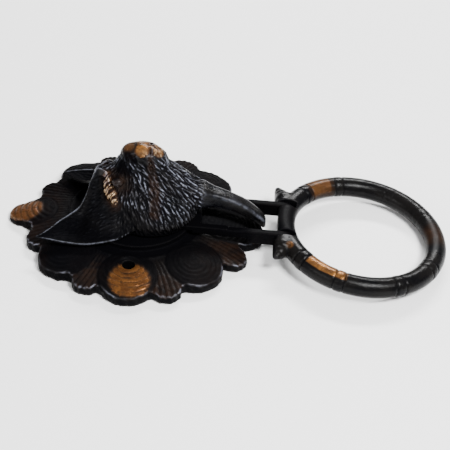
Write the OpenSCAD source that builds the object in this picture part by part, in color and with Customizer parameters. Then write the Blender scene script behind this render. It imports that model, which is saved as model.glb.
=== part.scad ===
// Door knocker: an animal head on a domed rosette plate, with a ring hung
// from a fork under the head's throat.
// Frame: origin at the middle of the plate's back, +Z out of the door,
// +X towards the ring (down on a door), +Y across the plate.

/* [Plate] */
// Thickness of the plate at its rim
rim_t = 4; // [3.4:0.1:4.6]
// Height of the domed face over the middle of the plate
crown_z = 10; // [8:0.1:12]
// Thickness of the domed wall
plate_wall = 3.5; // [2.5:0.1:4]
// Radius of the raised round seat under the head
seat_r = 26; // [25:0.5:28]
// Height of that seat above the back
seat_z = 11; // [10.2:0.1:12]
// Distance of the round bosses from the middle
boss_at = 40; // [39:0.1:41]
// Radius of a round boss
boss_r = 13; // [12.5:0.1:13.5]
// Rise of each boss above the dome
boss_rise = 1.2; // [0.8:0.1:1.6]
// Reach of the two long bosses, top and bottom
long_boss_end = 58.9; // [58:0.1:60]

/* [Fixing holes] */
// Distance between the two fixing holes
fixing_spacing = 68.8; // [66:0.1:71]
// Radius of a fixing hole, for a No. 10 wood screw
fixing_hole_r = 2.8; // [2:0.1:3.2]

/* [Head] */
// Height of the nose above the back of the plate
nose_z = 47.8; // [45:0.1:50]
// Reach of the throat tuft
throat_end = 58.4; // [56:0.1:59]
// Reach of the ear tips towards the top of the door
ear_reach = 42.8; // [40:0.1:45]
// Distance of each ear tip from the middle
ear_tip_y = 23.7; // [22:0.1:25]

/* [Hinge] */
// Distance of the hinge pin from the middle of the plate
hinge_x = 67.2; // [66:0.1:69]
// Height of the hinge pin above the back of the plate
hinge_z = 9.8; // [9:0.1:11]
// Radius of the hinge pin
pin_r = 1.6; // [1.2:0.1:2]
// Gap all round between the pin and the fork's eyes
pin_clearance = 0.05; // [0.01:0.01:0.1]
// Distance of each fork arm from the middle
arm_y = 10.5; // [10:0.1:11]
// Thickness of a fork arm
arm_t = 3.2; // [2.8:0.1:3.4]
// Half height of a fork arm, and radius of its eye
arm_r = 3.3; // [3:0.1:3.5]
// Gap on each side of a fork arm in the ring's slot
slot_gap = 0.35; // [0.3:0.01:0.5]
// How far the ring lifts off the door
lift = 110; // [90:5:120]

/* [Ring] */
// Radius of the ring's middle line
ring_r = 35; // [33:0.1:37]
// Radius of the ring's bar
bar_r = 4.65; // [4:0.05:5]
// Radius of the hub's end blocks
hub_r = 4.9; // [4.7:0.1:5.2]
// Half length of the hub
hub_half = 20; // [18:0.1:21]

/* [Screws] */
// Radius of a screw's shank
screw_r = 2; // [1.5:0.1:2.3]
// Length of a screw below its head
screw_l = 16; // [12:0.5:18]

/* [Hidden] */
$fn = 64;

// The plate's dome: spheres of one radius, one for each side of the wall.
outline_r = 52;
dome_drop = crown_z - rim_t;
dome_r = (outline_r * outline_r + dome_drop * dome_drop) / (2 * dome_drop);
hollow_r = 45;
core_r = 48.5;
boss_curve = (boss_r * boss_r + boss_rise * boss_rise) / (2 * boss_rise);
// Long bosses: radius of the lower one, then the two circles of the upper one.
long_boss_r = 11.4;
upper_boss_r = 9.9;
upper_boss_at = 46.5;
upper_tip_r = 6.5;
// Leaf lobes between the bosses: turn from the +X side, distance, on both sides.
leaves = [[22.5, 48.2], [67.5, 46], [112.5, 45.6], [157.5, 44.8]];
leaf_r = 7;
post_r = 6.5;
boss_margin = 0.4;

// The three screws: two through the fork's base, one under the brow.
throat_screw_at = [18, 8];
brow_screw_at = [-12, 0];
screw_clear = 0.25;
screw_head_r = 4;
screw_head_h = 3;
washer_r = 4.4;
washer_t = 1;
spot_z = 5;
spot_r = washer_r + 1.2;
// Height of a cut that goes right through the plate or the fork.
through = 30;

// The fork: its base strap, a step below it, and the deeper end of the arms.
fork_start = 12;
fork_base_end = 29.5;
fork_base_t = 2.6;
fork_step = 1.4;
fork_step_end = 41.5;
fork_overlap = 4;
fork_deep_from = 50;
// Room for the fork in the head: round it, and past the ends of its base.
fork_room = 0.4;
fork_end_room = 2;
fork_top_room = 1.1;

// Inside the head: its wall, and the bosses that take the screws.
head_wall = 3;
screw_boss_r = 4.6;
screw_boss_top = 22;
bore_ease = 0.03;
bore_h = 10;

// The ring lies back until its far side rests on the door.
ring_tilt = asin((hinge_z - bar_r) / (2 * ring_r));
groove_depth = 0.45;
groove_w = 0.9;
collar_half = 3.4;
// Turn of each collar from the ring's far side.
collars = [32, 64, 107, 138];
crossbar_back = 3.2;
slot_r = arm_r + 0.5;
horn_r = 4.4;
horn_tip_r = 1.6;
horn_l = 6.9;
horn_lean = 24;

function dome_z(r, top) = top - dome_r + sqrt(dome_r * dome_r - r * r);

// ---------------------------------------------------------------- plate

module plate_outline() {
    circle(r = core_r, $fn = 96);
    for (a = [45, 90, 135, 225, 270, 315])
        rotate(a) translate([boss_at, 0]) circle(r = boss_r);
    // lower long boss
    translate([boss_at, -long_boss_r])
        square([long_boss_end - long_boss_r - boss_at, 2 * long_boss_r]);
    translate([long_boss_end - long_boss_r, 0]) circle(r = long_boss_r);
    // upper long boss, narrower towards its end
    translate([-upper_boss_at, 0]) circle(r = upper_boss_r);
    translate([upper_tip_r - long_boss_end, 0]) circle(r = upper_tip_r);
    for (leaf = leaves)
        for (side = [-1, 1])
            rotate(side * leaf[0]) translate([leaf[1], 0]) circle(r = leaf_r);
}

module dome(top) {
    translate([0, 0, top - dome_r]) sphere(r = dome_r, $fn = 128);
}

// A shallow round swelling of the plate's face.
module round_boss(at, r) {
    intersection() {
        translate([at, 0, dome_z(at, crown_z) + boss_rise - boss_curve])
            sphere(r = boss_curve, $fn = 96);
        translate([at, 0, 0]) cylinder(r = r - boss_margin, h = seat_z + 6);
    }
}

module plate_skin() {
    intersection() {
        linear_extrude(seat_z + 6) plate_outline();
        union() {
            dome(crown_z);
            for (a = [45, 90, 135, 225, 270, 315])
                rotate(a) round_boss(boss_at, boss_r);
            round_boss(long_boss_end - long_boss_r, long_boss_r);
            rotate(180) round_boss(upper_boss_at, upper_boss_r);
        }
    }
    cylinder(r1 = seat_r + 1, r2 = seat_r, h = seat_z, $fn = 96);
}

module plate_hollow() {
    difference() {
        intersection() {
            dome(crown_z - plate_wall);
            translate([0, 0, -1]) cylinder(r = hollow_r, h = crown_z + 2, $fn = 96);
        }
        for (s = [-1, 1])
            translate([0, s * fixing_spacing / 2, -1]) cylinder(r = post_r, h = crown_z + 2);
        for (p = screw_places())
            translate([p[0], p[1], spot_z]) cylinder(r = spot_r, h = crown_z);
    }
}

function screw_places() = [
    [throat_screw_at[0], -throat_screw_at[1]],
    throat_screw_at,
    brow_screw_at];

module back_plate() {
    color([0.16, 0.14, 0.13]) difference() {
        plate_skin();
        plate_hollow();
        for (s = [-1, 1])
            translate([0, s * fixing_spacing / 2, -1]) cylinder(r = fixing_hole_r, h = through);
        for (p = screw_places())
            translate([p[0], p[1], -1]) cylinder(r = screw_r + screw_clear, h = through);
    }
}

// ----------------------------------------------------------------- head

module ball(x, y, z, r) {
    translate([x, y, z]) sphere(r = r, $fn = 24);
}

module both_sides() {
    children();
    mirror([0, 1, 0]) children();
}

// The face, shrunk inwards by "wall" to make the hollow behind it.
module face(wall) {
    hull() {
        ball(1.4, 0, nose_z - 6, 6 - wall);
        ball(8.5, 0, nose_z - 10.5, 5.4 - wall);
        both_sides() {
            ball(-10, 6.5, 23, 8 - wall);
            ball(2, 12.5, 17.5, 9.5 - wall);
            ball(18, 8, 16, 8.5 - wall);
            ball(22, 4, 24, 6 - wall);
        }
        translate([-1, 0, seat_z - 4]) cylinder(r = 19 - wall, h = 4, $fn = 48);
    }
}

module throat_tuft() {
    hull() {
        ball(24, 3, 23.8, 4.6);
        ball(24, -3, 23.8, 4.6);
        ball(44, 0, 19, 3.6);
        ball(throat_end - 3.4, 1.4, 10.4, 3.4);
        ball(throat_end - 3.4, -1.4, 10.4, 3.4);
        ball(26, 0, 15.5, 4);
    }
}

// A cupped leaf laid back from the brow; its hollow side looks outwards.
module ear() {
    difference() {
        hull() {
            ball(-ear_reach + 0.7, ear_tip_y, 10.3, 0.7);
            ball(-32, 16, 11.6, 1);
            ball(-22, 7, 19, 2);
            ball(-14, 6, 30, 3);
            ball(-22, 24.8, 11.2, 1.2);
            ball(-6, 17.5, 14, 3);
        }
        hull() {
            ball(-ear_reach + 3, ear_tip_y + 0.6, 12.4, 0.6);
            ball(-30.5, 17.6, 13.6, 1);
            ball(-21, 10.5, 20.8, 2);
            ball(-14, 13, 28, 3);
            ball(-22, 25.4, 14.6, 1.4);
            ball(-15, 32, 24, 4);
        }
    }
}

module fox_head() {
    base_l = fork_base_end - fork_start + 2 * fork_end_room;
    color([0.2, 0.18, 0.19]) difference() {
        union() {
            difference() {
                union() {
                    face(0);
                    throat_tuft();
                    ear();
                    mirror([0, 1, 0]) ear();
                }
                intersection() {
                    face(head_wall);
                    translate([-50, -50, seat_z - 5]) cube([100, 100, nose_z]);
                }
            }
            for (p = screw_places())
                translate([p[0], p[1], seat_z])
                    cylinder(r = screw_boss_r, h = screw_boss_top - seat_z);
        }
        // flat foot on the plate's seat
        translate([-25, -30, -1]) cube([60, 60, seat_z + 1]);
        // room for the fork's base and its arms
        translate([fork_start - fork_end_room, -arm_y - arm_t / 2 - fork_room, 0])
            cube([base_l, 2 * (arm_y + fork_room) + arm_t, seat_z + fork_base_t + fork_top_room - 1]);
        both_sides()
            translate([fork_base_end - fork_overlap, arm_y - arm_t / 2 - fork_room, 0])
                cube([hinge_x, arm_t + 2 * fork_room, seat_z + fork_base_t + fork_room]);
        for (p = screw_places())
            translate([p[0], p[1], seat_z - 1]) cylinder(r = screw_r + bore_ease, h = bore_h);
    }
}

// ---------------------------------------------------------------- hinge

module along_y(from, to, r, fn = 48) {
    translate([hinge_x, from, hinge_z]) rotate([-90, 0, 0]) cylinder(r = r, h = to - from, $fn = fn);
}

// One plate of the fork's arm, from "from" to "to" along X, "low" to "high" in Z.
module arm_length(from, to, low, high) {
    both_sides()
        translate([from, arm_y - arm_t / 2, low]) cube([to - from, arm_t, high - low]);
}

module hinge_fork() {
    base_w = 2 * arm_y + arm_t;
    color([0.17, 0.16, 0.17]) difference() {
        union() {
            translate([fork_start, -base_w / 2, seat_z])
                cube([fork_base_end - fork_start, base_w, fork_base_t]);
            arm_length(fork_base_end - fork_overlap, fork_step_end, seat_z, seat_z + fork_base_t);
            arm_length(fork_base_end, fork_step_end, seat_z - fork_step, seat_z + 0.1);
            arm_length(fork_step_end - fork_overlap, hinge_x, hinge_z, hinge_z + arm_r);
            arm_length(fork_deep_from, hinge_x, hinge_z - arm_r, hinge_z + 0.1);
            both_sides() along_y(arm_y - arm_t / 2, arm_y + arm_t / 2, arm_r);
        }
        along_y(-hub_half, hub_half, pin_r + pin_clearance);
        both_sides()
            translate([throat_screw_at[0], throat_screw_at[1], 0])
                cylinder(r = screw_r + screw_clear, h = through);
    }
}

// Pressed into the ring's hub, its ends flush.
module hinge_pin() {
    color([0.62, 0.45, 0.2]) along_y(-hub_half, hub_half, pin_r);
}

// ----------------------------------------------------------------- ring

// A shallow groove round the bar at angle "a" from the far side of the ring.
module groove(a) {
    rotate(a) translate([ring_r, 0, 0]) rotate([90, 0, 0])
        difference() {
            cylinder(r = bar_r + 1, h = groove_w, center = true);
            cylinder(r = bar_r - groove_depth, h = groove_w + 1, center = true);
        }
}

module ring_bar() {
    difference() {
        rotate_extrude($fn = 128) translate([ring_r, 0]) circle(r = bar_r, $fn = 32);
        for (collar = collars)
            for (side = [-1, 1])
                for (edge = [-1, 1])
                    groove(side * collar + edge * collar_half);
    }
}

// The space that a fork arm needs while the ring swings up by "lift".
module arm_sweep() {
    reach = 24;
    stop = 180 - lift;
    edge = [slot_r * sin(stop), -slot_r * cos(stop)];
    along = [cos(stop), sin(stop)];
    for (s = [-1, 1])
        translate([hinge_x, s * arm_y + arm_t / 2 + slot_gap, hinge_z]) rotate([90, 0, 0])
            linear_extrude(arm_t + 2 * slot_gap) {
                circle(r = slot_r);
                polygon([[-reach, -slot_r], [0, -slot_r], [0, 0], edge,
                         edge + reach * along, [-reach, reach]]);
            }
}

module knocker_ring() {
    slot_out = arm_y + arm_t / 2 + slot_gap;
    color([0.13, 0.13, 0.15]) difference() {
        union() {
            translate([hinge_x, 0, hinge_z]) rotate([0, ring_tilt, 0])
                translate([ring_r, 0, 0]) ring_bar();
            both_sides() {
                along_y(slot_out, hub_half, hub_r);
                // blunt horn on the end of the hub
                translate([hinge_x - 0.8, hub_half - 3, hinge_z]) rotate([-90, 0, horn_lean]) {
                    cylinder(r1 = horn_r, r2 = horn_tip_r, h = horn_l);
                    translate([0, 0, horn_l]) sphere(r = horn_tip_r, $fn = 32);
                }
            }
        }
        // flat back of the crossbar, between the slots
        translate([hinge_x - 20 - crossbar_back, -arm_y, hinge_z - 10]) cube([20, 2 * arm_y, 20]);
        arm_sweep();
        along_y(-hub_half - 6, hub_half + 6, pin_r);
    }
}

// --------------------------------------------------------------- screws

module screw(p) {
    color([0.55, 0.55, 0.56]) translate([p[0], p[1], spot_z - washer_t]) {
        cylinder(r = screw_r, h = screw_l);
        translate([0, 0, -screw_head_h]) difference() {
            cylinder(r = screw_head_r, h = screw_head_h);
            translate([-screw_head_r, -0.5, -1]) cube([2 * screw_head_r, 1, 2.2]);
        }
    }
}

module washer(p) {
    color([0.6, 0.6, 0.6]) translate([p[0], p[1], spot_z - washer_t]) difference() {
        cylinder(r = washer_r, h = washer_t);
        translate([0, 0, -1]) cylinder(r = screw_r + screw_clear, h = washer_t + 2);
    }
}

module throat_screw_left() { screw(screw_places()[0]); }
module throat_screw_right() { screw(screw_places()[1]); }
module brow_screw() { screw(screw_places()[2]); }
module throat_washer_left() { washer(screw_places()[0]); }
module throat_washer_right() { washer(screw_places()[1]); }
module brow_washer() { washer(screw_places()[2]); }

back_plate();
fox_head();
hinge_fork();
hinge_pin();
knocker_ring();
throat_screw_left();
throat_screw_right();
brow_screw();
throat_washer_left();
throat_washer_right();
brow_washer();
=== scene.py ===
"""Looks of the door knocker: patinated cast brass, worn to gold on the high spots."""
import math

import bpy
import numpy as np
from mathutils import Matrix, Vector


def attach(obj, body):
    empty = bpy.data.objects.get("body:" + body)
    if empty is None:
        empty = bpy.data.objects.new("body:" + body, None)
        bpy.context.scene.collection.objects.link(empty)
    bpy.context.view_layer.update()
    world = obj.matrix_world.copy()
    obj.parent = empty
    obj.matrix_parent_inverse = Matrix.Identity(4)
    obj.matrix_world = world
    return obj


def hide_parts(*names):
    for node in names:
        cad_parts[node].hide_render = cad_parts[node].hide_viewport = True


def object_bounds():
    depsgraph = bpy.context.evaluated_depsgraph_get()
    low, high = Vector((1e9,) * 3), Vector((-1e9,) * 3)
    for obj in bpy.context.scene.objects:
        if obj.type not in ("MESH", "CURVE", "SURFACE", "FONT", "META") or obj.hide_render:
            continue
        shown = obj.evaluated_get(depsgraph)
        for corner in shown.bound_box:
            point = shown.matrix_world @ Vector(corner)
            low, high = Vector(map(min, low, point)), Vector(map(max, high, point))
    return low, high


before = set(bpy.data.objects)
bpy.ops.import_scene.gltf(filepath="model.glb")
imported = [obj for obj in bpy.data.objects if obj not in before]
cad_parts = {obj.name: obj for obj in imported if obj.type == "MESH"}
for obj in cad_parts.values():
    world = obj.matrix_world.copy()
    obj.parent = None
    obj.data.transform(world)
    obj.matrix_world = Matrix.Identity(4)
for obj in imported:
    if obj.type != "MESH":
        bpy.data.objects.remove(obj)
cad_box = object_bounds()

MM = 0.001

# The part's own dimensions, in millimetres, as in part.scad.
RIM_T = 4.0
CROWN_Z = 10.0
PLATE_WALL = 3.5
SEAT_R = 26.0
SEAT_Z = 11.0
BOSS_AT = 40.0
BOSS_R = 13.0
BOSS_RISE = 1.2
LONG_BOSS_R = 11.4
UPPER_BOSS_R = 9.9
UPPER_BOSS_AT = 46.5
UPPER_TIP_R = 6.5
CORE_R = 48.5
LEAF_R = 7.0
LONG_BOSS_END = 58.9
FIXING_SPACING = 68.8
FIXING_HOLE_R = 2.8
HOLLOW_R = 45.0
POST_R = 6.5
SPOT_Z = 5.0
SPOT_R = 5.6
SCREW_HOLE_R = 2.25
SCREWS = [(18.0, -8.0), (18.0, 8.0), (-12.0, 0.0)]
HINGE_X = 67.2
HINGE_Z = 9.8
PIN_R = 1.6
ARM_Y = 10.5
ARM_T = 3.2
ARM_R = 3.3
SLOT_GAP = 0.35
LIFT = math.radians(110)
RING_R = 35.0
BAR_R = 4.65
HUB_R = 4.9
HUB_HALF = 20.0
RING_TILT = math.asin((HINGE_Z - BAR_R) / (2 * RING_R))

# The looks stay this far inside the outermost faces of the CAD model.
INSET = 0.02
# The grid that each casting's mesh is made on: lowest corner, highest corner and cell.
HEAD_GRID = ((-44.6, -28.6, 5.4), (59.6, 28.6, 48.6), 0.42)
PLATE_GRID = ((-59.6, -54.2, -0.7), (59.6, 54.2, 12.0), 0.5)
FORK_GRID = ((11, -13, 5.8), (71.2, 13, 14.4), 0.3)
RING_GRID = ((61.2, -40.6, -0.8), (142.6, 40.6, 15.4), 0.42)


# ------------------------------------------------------- implicit shapes
# A shape is a function of points, an array of N x 3 in mm, that is negative inside.

def smooth_step(low, high, value):
    t = np.clip((value - low) / (high - low), 0, 1)
    return t * t * (3 - 2 * t)


def line_at(value, middle, half_width):
    """A soft line: 1 where the value is at the middle, about a third at the half width."""
    return np.exp(-((value - middle) / half_width) ** 2)


def merge(a, b, soft):
    """Union of two shapes, rounded where they meet."""
    h = np.clip(0.5 + 0.5 * (b - a) / soft, 0, 1)
    return b + (a - b) * h - soft * h * (1 - h)


def cut(a, b, soft):
    """Shape a without shape b, rounded where they meet."""
    return -merge(-a, b, soft)


def ball(p, centre, radii, turn_z=0.0):
    """An ellipsoid, turned about Z through its centre."""
    q = p - np.array(centre)
    c, s = math.cos(turn_z), math.sin(turn_z)
    x = q[:, 0] * c + q[:, 1] * s
    y = -q[:, 0] * s + q[:, 1] * c
    rx, ry, rz = radii
    k = np.sqrt((x / rx) ** 2 + (y / ry) ** 2 + (q[:, 2] / rz) ** 2)
    return (k - 1) * min(radii)


def rod(p, start, end, r_start, r_end):
    """A round bar between two points, with its own radius at each end."""
    a = np.array(start, float)
    d = np.array(end, float) - a
    t = np.clip((p - a) @ d / (d @ d), 0, 1)
    away = np.linalg.norm(p - a - t[:, None] * d, axis=1)
    return away - (r_start + (r_end - r_start) * t)


def chain(p, points, radii):
    """A bar along several points."""
    best = None
    for i in range(len(points) - 1):
        piece = rod(p, points[i], points[i + 1], radii[i], radii[i + 1])
        best = piece if best is None else np.minimum(best, piece)
    return best


def slab(p, low, high, rounding):
    """A box with rounded edges."""
    low, high = np.array(low, float), np.array(high, float)
    q = np.abs(p - (low + high) / 2) - ((high - low) / 2 - rounding)
    outside = np.linalg.norm(np.maximum(q, 0), axis=1)
    return outside + np.minimum(q.max(axis=1), 0) - rounding


def curve(x, places, values):
    """A smooth curve through the points, without overshoot."""
    places, values = np.array(places, float), np.array(values, float)
    x = np.clip(x, places[0], places[-1])
    i = np.clip(np.searchsorted(places, x, side="right") - 1, 0, len(places) - 2)
    step = np.diff(places)
    rise = np.diff(values) / step
    slope = np.empty(len(values))
    slope[0], slope[-1] = rise[0], rise[-1]
    for k in range(1, len(rise)):
        same = rise[k - 1] * rise[k] > 0
        slope[k] = 2 * rise[k - 1] * rise[k] / (rise[k - 1] + rise[k]) if same else 0.0
    t = (x - places[i]) / step[i]
    a = values[i] * (1 + 2 * t) * (1 - t) ** 2 + values[i + 1] * t * t * (3 - 2 * t)
    return a + step[i] * (slope[i] * t * (1 - t) ** 2 - slope[i + 1] * t * t * (1 - t))


def surface(shape, low, high, step):
    """A closed quad mesh of a shape: one vertex in each grid cell that the surface crosses."""
    axes = [np.arange(low[i], high[i] + step, step) for i in range(3)]
    value = sampled(shape, axes)
    cells = crossed_cells(value < 0)
    number = np.full(np.array(value.shape) - 1, -1)
    number[tuple(cells.T)] = np.arange(len(cells))
    points = np.array(low) + step * (cells + mean_crossing(value, cells))
    return settle(points, shape, step), cell_quads(value < 0, number)


def sampled(shape, axes):
    """The shape's value at every grid point, one layer at a time."""
    value = np.empty(tuple(len(a) for a in axes))
    for i, x in enumerate(axes[0]):
        yy, zz = np.meshgrid(axes[1], axes[2], indexing="ij")
        layer = np.stack([np.full(yy.size, x), yy.ravel(), zz.ravel()], axis=1)
        value[i] = shape(layer).reshape(yy.shape)
    return value


def crossed_cells(inside):
    """The grid cells that have corners both inside and outside."""
    size = inside.shape
    count = sum(inside[i:size[0] - 1 + i, j:size[1] - 1 + j, k:size[2] - 1 + k].astype(np.int8)
                for i in (0, 1) for j in (0, 1) for k in (0, 1))
    return np.argwhere((count > 0) & (count < 8))


def mean_crossing(value, cells):
    """Mean of the places where the surface crosses each cell's edges, in parts of a cell."""
    total = np.zeros((len(cells), 3))
    crossings = np.zeros(len(cells))
    for a in [np.array(corner) for corner in np.ndindex(2, 2, 2)]:
        for axis in range(3):
            if a[axis]:
                continue
            b = a.copy()
            b[axis] = 1
            va = value[tuple((cells + a).T)]
            vb = value[tuple((cells + b).T)]
            hit = (va < 0) != (vb < 0)
            t = np.where(hit, va / np.where(hit, va - vb, 1), 0)
            total += np.where(hit[:, None], a + t[:, None] * (b - a), 0)
            crossings += hit
    return total / crossings[:, None]


def cell_quads(inside, number):
    """A quad round each grid edge that the surface crosses, through its four cells."""
    size = inside.shape
    faces = []
    for axis in range(3):
        u, v = [np.eye(3, dtype=int)[k] for k in ((axis + 1) % 3, (axis + 2) % 3)]
        near = [slice(1, n - 1) for n in size]
        near[axis] = slice(0, size[axis] - 1)
        far = list(near)
        far[axis] = slice(1, size[axis])
        change = inside[tuple(near)] != inside[tuple(far)]
        start = np.argwhere(change) + np.array([s.start for s in near])
        quad = np.stack([number[tuple((start - k).T)] for k in (0 * u, u, u + v, v)], axis=1)
        flip = ~inside[tuple(start.T)]
        quad[flip] = quad[flip][:, ::-1]
        faces.append(quad)
    return np.concatenate(faces)


def slope_of(points, shape, reach=0.04):
    """The shape's value and its gradient at each point."""
    value = shape(points)
    slope = np.empty_like(points)
    for axis in range(3):
        side = np.zeros(3)
        side[axis] = reach
        slope[:, axis] = (shape(points + side) - shape(points - side)) / (2 * reach)
    return value, slope


def settle(points, shape, step):
    """Move points onto the surface of the shape."""
    for _ in range(2):
        value, slope = slope_of(points, shape)
        move = -value[:, None] * slope / np.maximum((slope ** 2).sum(axis=1), 0.2)[:, None]
        points = points + np.clip(move, -0.6 * step, 0.6 * step)
    return points


def vertex_normals(points, quads):
    corners = points[quads]
    across = np.cross(corners[:, 2] - corners[:, 0], corners[:, 3] - corners[:, 1])
    normals = np.zeros_like(points)
    for k in range(4):
        np.add.at(normals, quads[:, k], across)
    return normals / np.maximum(np.linalg.norm(normals, axis=1), 1e-9)[:, None]


def spread(values, quads, rounds):
    """Average each vertex's value with its neighbours', a few times over."""
    count = np.bincount(quads.ravel(), minlength=len(values))
    for _ in range(rounds):
        mean = values[quads].mean(axis=1)
        total = np.zeros_like(values)
        for k in range(4):
            np.add.at(total, quads[:, k], mean)
        values = total / count.reshape(-1, *([1] * (values.ndim - 1)))
    return values


def crests(points, quads, normals, rounds):
    """How far each vertex stands out of its surroundings, in mm."""
    return ((points - spread(points, quads, rounds)) * normals).sum(axis=1)


def new_piece(name, points, quads, body, material_slot, replaced, **masks):
    mesh = bpy.data.meshes.new(name)
    mesh.vertices.add(len(points))
    mesh.vertices.foreach_set("co", (points * MM).ravel())
    mesh.loops.add(4 * len(quads))
    mesh.loops.foreach_set("vertex_index", quads.ravel())
    mesh.polygons.add(len(quads))
    mesh.polygons.foreach_set("loop_start", np.arange(0, 4 * len(quads), 4))
    mesh.polygons.foreach_set("use_smooth", np.ones(len(quads), bool))
    mesh.update(calc_edges=True)
    for mask, values in masks.items():
        layer = mesh.attributes.new(mask, "FLOAT", "POINT")
        layer.data.foreach_set("value", np.clip(values, 0, 1).astype(np.float32))
    piece = bpy.data.objects.new(name, mesh)
    bpy.context.scene.collection.objects.link(piece)
    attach(piece, body)
    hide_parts(replaced)
    return piece


# ------------------------------------------------------------------ head

# Sections of the face at each height above the plate: where its middle is along X,
# half its length along X, and half its width.
FACE_Z = [8.0, 11.0, 12.5, 16.0, 20.0, 24.0, 28.0, 31.0, 34.0, 38.0, 42.0, 44.6, 46.2, 47.6]
FACE_MID = [3.0, 3.0, 3.0, 3.5, 4.0, 4.2, 4.2, 4.0, 3.2, 2.0, 1.5, 1.5, 1.2, 1.0]
FACE_LONG = [18.0, 20.0, 22.5, 24.5, 24.8, 24.1, 22.2, 19.4, 16.4, 12.2, 9.5, 8.0, 5.7, 0.8]
FACE_WIDE = [15.0, 17.0, 20.0, 20.2, 18.0, 15.6, 13.2, 11.6, 10.2, 8.4, 7.2, 6.2, 4.4, 0.8]

# The near ear, in sections across X: its upper rim, its lower rim, and how deep it is cupped.
EAR_X = [-42.4, -40.5, -36.6, -32.8, -28.7, -24.7, -22.6, -20.6, -18.0, -14.5, -10.5, -7.0, -3.5, 0.0]
EAR_TOP_Y = [-23.6, -22.6, -19.4, -15.5, -12.5, -9.7, -6.4, -3.0, -1.4, -4.0, -8.5, -12.5, -16.0, -18.5]
EAR_TOP_Z = [9.8, 10.2, 11.2, 12.7, 14.4, 17.2, 21.0, 27.4, 32.6, 33.6, 28.5, 23.5, 19.5, 16.5]
EAR_LOW_Y = [-23.9, -24.3, -24.9, -25.6, -26.2, -26.5, -26.6,
             -26.4, -26.1, -25.3, -24.3, -23.2, -21.4, -19.4]
EAR_LOW_Z = [9.7, 9.8, 9.8, 9.8, 9.9, 10.0, 10.1, 10.2, 10.4, 10.8, 11.3, 11.9, 12.8, 14.4]
EAR_DEEP = [0.0, 0.3, 0.9, 1.8, 2.8, 3.6, 4.2, 4.6, 4.4, 3.2, 1.8, 0.8, 0.3, 0.0]
EAR_THICK = 0.75
# The far ear is shorter past its root: its length there, over the near one's. It also starts lower.
FAR_EAR = 0.79
EAR_ROOT_X = -20.0
FAR_BROW_DROP = 1.6

# The near eye, and lines on the near side: the fringe behind the eye, the mouth, and the crease
# that runs on from the mouth across the cheek.
EYE = (-8.2, -8.9, 32.2)
FRINGE = [(-13.4, -4.4, 33.2), (-13.6, -7.2, 31.0), (-12.8, -9.8, 28.6), (-11.2, -11.6, 26.4),
          (-9.0, -12.9, 23.6)]
FRINGE_R = [0.4, 1.3, 1.6, 1.5, 0.7]
FRINGE_REACH = [1.5, 2.4, 2.9, 2.7, 1.5]
MOUTH = [(4.6, -0.5, 47.3), (5.0, -2.8, 46.4), (5.2, -4.8, 43.9), (6.0, -6.7, 41.0), (6.8, -8.4, 37.6),
         (7.8, -10.4, 33.6)]
MOUTH_R = [0.4, 0.6, 0.6, 0.55, 0.45, 0.1]
CREASE = MOUTH + [(8.8, -13.4, 27.9), (9.3, -16.8, 22.2)]
CREASE_R = [0.3, 0.5, 0.8, 0.9, 1.1, 1.3, 1.5, 1.6]
# Centre, radius and strength of the places rubbed to gold, and of those painted near black.
GOLD_SPOTS = [
    ((1.6, -3.2, 46.4), 3.6, 0.85),
    ((8.7, -1.8, 45.4), 3.1, 0.7),
    ((-4.2, -1.0, 46.2), 3.2, 0.4),
    ((2.5, 1.0, 47.4), 4.6, 0.5),
]
DARK_SPOTS = [
    ((-4.7, -4.9, 43.6), 2.8, 1.0),
    ((-1.8, -6.4, 42.8), 2.2, 1.0),
    ((-7.2, -5.6, 38.3), 4.4, 1.0),
    ((-4.6, -8.4, 37.5), 3.6, 1.0),
    ((-9.5, -7.8, 35.0), 2.6, 1.0),
]


def to_near_side(p):
    """Fold the far half of the head onto the near half."""
    q = p.copy()
    past = np.maximum(EAR_ROOT_X - q[:, 0], 0) * (q[:, 1] > 0)
    q[:, 0] -= past * (1 / FAR_EAR - 1)
    behind_brow = smooth_step(-15, -19, q[:, 0])
    far_side = smooth_step(0.5, 4, q[:, 1])
    upper_part = smooth_step(13, 20, q[:, 2])
    q[:, 2] += FAR_BROW_DROP * behind_brow * far_side * upper_part
    q[:, 1] = -np.abs(q[:, 1])
    return q


def face(p):
    z = p[:, 2]
    mid = curve(z, FACE_Z, FACE_MID)
    half = curve(z, FACE_Z, FACE_LONG)
    wide = curve(z, FACE_Z, FACE_WIDE)
    x = (p[:, 0] - mid) / half
    pear = 1 + 0.12 * np.clip(x, -1, 1)
    y = p[:, 1] / (wide * pear)
    body = (np.sqrt(x * x + y * y) - 1) * np.minimum(half, wide)
    return np.maximum(body, z - FACE_Z[-1])


def ear_section(p):
    """Place in the ear's section: along the chord, above its curved floor, chord length."""
    x = p[:, 0]
    ty, tz = curve(x, EAR_X, EAR_TOP_Y), curve(x, EAR_X, EAR_TOP_Z)
    ly, lz = curve(x, EAR_X, EAR_LOW_Y), curve(x, EAR_X, EAR_LOW_Z)
    deep = curve(x, EAR_X, EAR_DEEP)
    cy, cz = ly - ty, lz - tz
    chord = np.maximum(np.hypot(cy, cz), 0.3)
    cy, cz = cy / chord, cz / chord
    qy, qz = p[:, 1] - ty, p[:, 2] - tz
    along = (qy * cy + qz * cz) / chord
    down = -qy * cz + qz * cy
    held = np.clip(along, 0, 1)
    floor = 4 * deep * held * (1 - held)
    lean = 1 / np.sqrt(1 + (4 * deep * (1 - 2 * held) / chord) ** 2)
    return along, (down - floor) * lean, chord


def ear(p):
    along, above, chord = ear_section(p)
    past_rim = np.maximum(np.maximum(-along, along - 1), 0) * chord
    past_end = np.maximum(EAR_X[0] - p[:, 0], 0) + np.maximum(p[:, 0] - EAR_X[-1], 0)
    thick = EAR_THICK * smooth_step(EAR_X[0] - 4, EAR_X[0] + 8, p[:, 0])
    return np.sqrt(above ** 2 + past_rim ** 2 + past_end ** 2) - thick


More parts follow.
